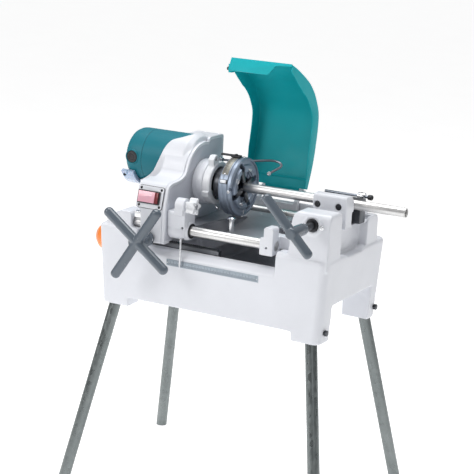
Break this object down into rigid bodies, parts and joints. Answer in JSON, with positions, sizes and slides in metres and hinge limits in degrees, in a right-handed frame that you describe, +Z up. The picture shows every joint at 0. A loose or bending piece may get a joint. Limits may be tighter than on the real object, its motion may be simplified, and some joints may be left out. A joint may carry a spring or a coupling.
{
  "type": "pipe threading machine",
  "caption": "Motorised pipe threading machine on a four-legged pipe stand, with a sliding headstock, rotating die head, hinged cover and a screw vise for the pipe.",
  "frame": {"origin": "middle of the bounding box base, on the floor", "axes": "+X along the spindle from the motor to the vise, +Y to the back where the cover hinges, +Z up"},
  "size_m": [0.9238, 0.6046, 1.2405],
  "materials": {
    "casting_paint": "smooth light grey machine enamel over a casting",
    "casting_shade": "light grey machine enamel",
    "tray_steel": "dark grey sheet steel with oil film",
    "motor_teal": "teal enamel, satin",
    "cover_teal": "teal powder coat, satin",
    "scale_zinc": "engraved grey scale strip",
    "galvanised": "galvanised pipe with spangle",
    "bright_steel": "machined steel",
    "chrome_bar": "ground and plated bar",
    "head_steel": "blue-grey oxidised steel with worn edges",
    "black_parts": "black",
    "handle_grip": "dark slate enamel, glossy",
    "orange_cap": "orange moulded plastic",
    "rocker_red": "translucent pink-red moulded rocker",
    "saddle_blue": "pale blue-grey moulded bracket",
    "knob_white": "light grey enamel"
  },
  "bodies": {
    "base": {"base_casting": "casting_paint", "chip_screen": "tray_steel", "scale_strip": "scale_zinc", "leg_front_left": "galvanised", "leg_front_right": "galvanised", "leg_rear_left": "galvanised", "leg_rear_right": "galvanised", "leg_screw_front_left": "bright_steel", "leg_screw_front_right": "bright_steel", "leg_screw_rear_left": "bright_steel", "leg_screw_rear_right": "bright_steel", "front_guide_bar": "chrome_bar", "rear_guide_bar": "chrome_bar", "front_bar_bracket": "casting_paint", "feed_rack": "bright_steel", "vise_bush": "bright_steel", "stop_rod_holder": "bright_steel"},
    "headstock": {"gear_housing": "casting_paint", "housing_front": "casting_shade", "motor_casing": "motor_teal", "motor_end_cap": "motor_teal", "brush_cap_front": "black_parts", "brush_cap_rear": "black_parts", "motor_saddle": "saddle_blue", "front_bearing_arm": "casting_paint", "rear_bearing_arm": "casting_paint", "switch_plate": "casting_paint", "rocker_frame": "black_parts", "bearing_collar": "casting_paint", "lug_ring": "casting_paint", "drip_chute": "tray_steel", "coolant_tube": "bright_steel", "coolant_union": "bright_steel", "depth_pointer": "bright_steel", "cover_hinge_pin": "bright_steel"},
    "rocker": {"rocker_switch": "rocker_red"},
    "star_knob": {"star_knob": "knob_white"},
    "armature": {"armature": "bright_steel", "motor_pinion": "bright_steel"},
    "cluster": {"cluster_gear": "bright_steel"},
    "spindle": {"spindle": "bright_steel", "spindle_gear": "bright_steel", "die_head_body": "head_steel"},
    "cam_ring": {"cam_ring": "head_steel", "head_latch": "black_parts"},
    "chaser_1": {"chaser_1": "black_parts"},
    "chaser_2": {"chaser_2": "black_parts"},
    "chaser_3": {"chaser_3": "black_parts"},
    "chaser_4": {"chaser_4": "black_parts"},
    "feed_wheel": {"feed_handwheel": "handle_grip", "feed_shaft": "bright_steel"},
    "vise_handle": {"vise_handle": "handle_grip", "vise_screw": "bright_steel"},
    "front_jaw": {"front_jaw": "casting_paint"},
    "rear_jaw": {"rear_jaw": "bright_steel"},
    "cover": {"splash_cover": "cover_teal"},
    "stop_rod": {"stop_rod": "chrome_bar"},
    "stop_screw": {"stop_rod_screw": "black_parts"},
    "drain_cap": {"drain_cap": "orange_cap"},
    "work_pipe": {"work_pipe": "chrome_bar"}
  },
  "joints": [
    {"name": "headstock_slide", "type": "slide", "parent": "base", "child": "headstock", "axis": [1, 0, 0], "range_m": [0, 0.12]},
    {"name": "feed_wheel_turn", "type": "hinge", "parent": "headstock", "child": "feed_wheel", "pos_m": [-0.22212, -0.23427, 0.747], "axis": [0, 1, 0], "range_deg": [-1, 574]},
    {"name": "spindle_turn", "type": "hinge", "parent": "headstock", "child": "spindle", "pos_m": [-0.09212, 0.01573, 0.887], "axis": [1, 0, 0], "continuous": true},
    {"name": "cluster_turn", "type": "hinge", "parent": "headstock", "child": "cluster", "pos_m": [-0.23212, 0.07573, 0.93605], "axis": [1, 0, 0], "continuous": true},
    {"name": "armature_turn", "type": "hinge", "parent": "headstock", "child": "armature", "pos_m": [-0.31212, 0.02574, 0.936], "axis": [1, 0, 0], "continuous": true},
    {"name": "cam_ring_turn", "type": "hinge", "parent": "spindle", "child": "cam_ring", "pos_m": [-0.06012, 0.01573, 0.887], "axis": [1, 0, 0], "range_deg": [0, 20]},
    {"name": "chaser_1_slide", "type": "slide", "parent": "spindle", "child": "chaser_1", "axis": [0, 0.9397, 0.342], "range_m": [0, 0.006]},
    {"name": "chaser_2_slide", "type": "slide", "parent": "spindle", "child": "chaser_2", "axis": [0, -0.342, 0.9397], "range_m": [0, 0.006]},
    {"name": "chaser_3_slide", "type": "slide", "parent": "spindle", "child": "chaser_3", "axis": [0, -0.9397, -0.342], "range_m": [0, 0.006]},
    {"name": "chaser_4_slide", "type": "slide", "parent": "spindle", "child": "chaser_4", "axis": [0, 0.342, -0.9397], "range_m": [0, 0.006]},
    {"name": "vise_handle_turn", "type": "hinge", "parent": "base", "child": "vise_handle", "pos_m": [0.27588, -0.23427, 0.858], "axis": [0, 1, 0], "range_deg": [-1800, 0]},
    {"name": "front_jaw_slide", "type": "slide", "parent": "base", "child": "front_jaw", "axis": [0, -1, 0], "range_m": [0, 0.03]},
    {"name": "rear_jaw_slide", "type": "slide", "parent": "base", "child": "rear_jaw", "axis": [0, 1, 0], "range_m": [0, 0.03]},
    {"name": "cover_hinge", "type": "hinge", "parent": "headstock", "child": "cover", "pos_m": [-0.03212, 0.21974, 0.85], "axis": [1, 0, 0], "range_deg": [0, 46]},
    {"name": "rocker_press", "type": "hinge", "parent": "headstock", "child": "rocker", "pos_m": [-0.22712, -0.18027, 0.861], "axis": [0, 0.2499, 0.9683], "range_deg": [0, 6]},
    {"name": "star_knob_turn", "type": "hinge", "parent": "headstock", "child": "star_knob", "pos_m": [-0.09812, -0.16026, 0.85], "axis": [1, 0, 0], "range_deg": [-360, 0]},
    {"name": "drain_cap_turn", "type": "hinge", "parent": "base", "child": "drain_cap", "pos_m": [-0.41212, -0.09627, 0.705], "axis": [1, 0, 0], "range_deg": [0, 90]},
    {"name": "stop_rod_slide", "type": "slide", "parent": "base", "child": "stop_rod", "axis": [1, 0, 0], "range_m": [-0.008, 0.03]},
    {"name": "stop_nut_turn", "type": "hinge", "parent": "stop_rod", "child": "stop_screw", "pos_m": [0.30388, 0.12973, 0.887], "axis": [1, 0, 0], "range_deg": [0, 360]},
    {"name": "work_pipe_slide", "type": "slide", "parent": "base", "child": "work_pipe", "axis": [1, 0, 0], "range_m": [0, 0.2]}
  ],
  "couplings": [
    {"joint": "feed_wheel_turn", "follows": "headstock_slide", "rad_per_m": 83.333},
    {"joint": "cluster_turn", "follows": "spindle_turn", "ratio": -3.4286},
    {"joint": "armature_turn", "follows": "spindle_turn", "ratio": 13.714},
    {"joint": "chaser_1_slide", "follows": "cam_ring_turn", "m_per_rad": 0.017},
    {"joint": "chaser_2_slide", "follows": "cam_ring_turn", "m_per_rad": 0.017},
    {"joint": "chaser_3_slide", "follows": "cam_ring_turn", "m_per_rad": 0.017},
    {"joint": "chaser_4_slide", "follows": "cam_ring_turn", "m_per_rad": 0.017},
    {"joint": "front_jaw_slide", "follows": "vise_handle_turn", "m_per_rad": -0.0009549},
    {"joint": "rear_jaw_slide", "follows": "vise_handle_turn", "m_per_rad": -0.0009549}
  ]
}
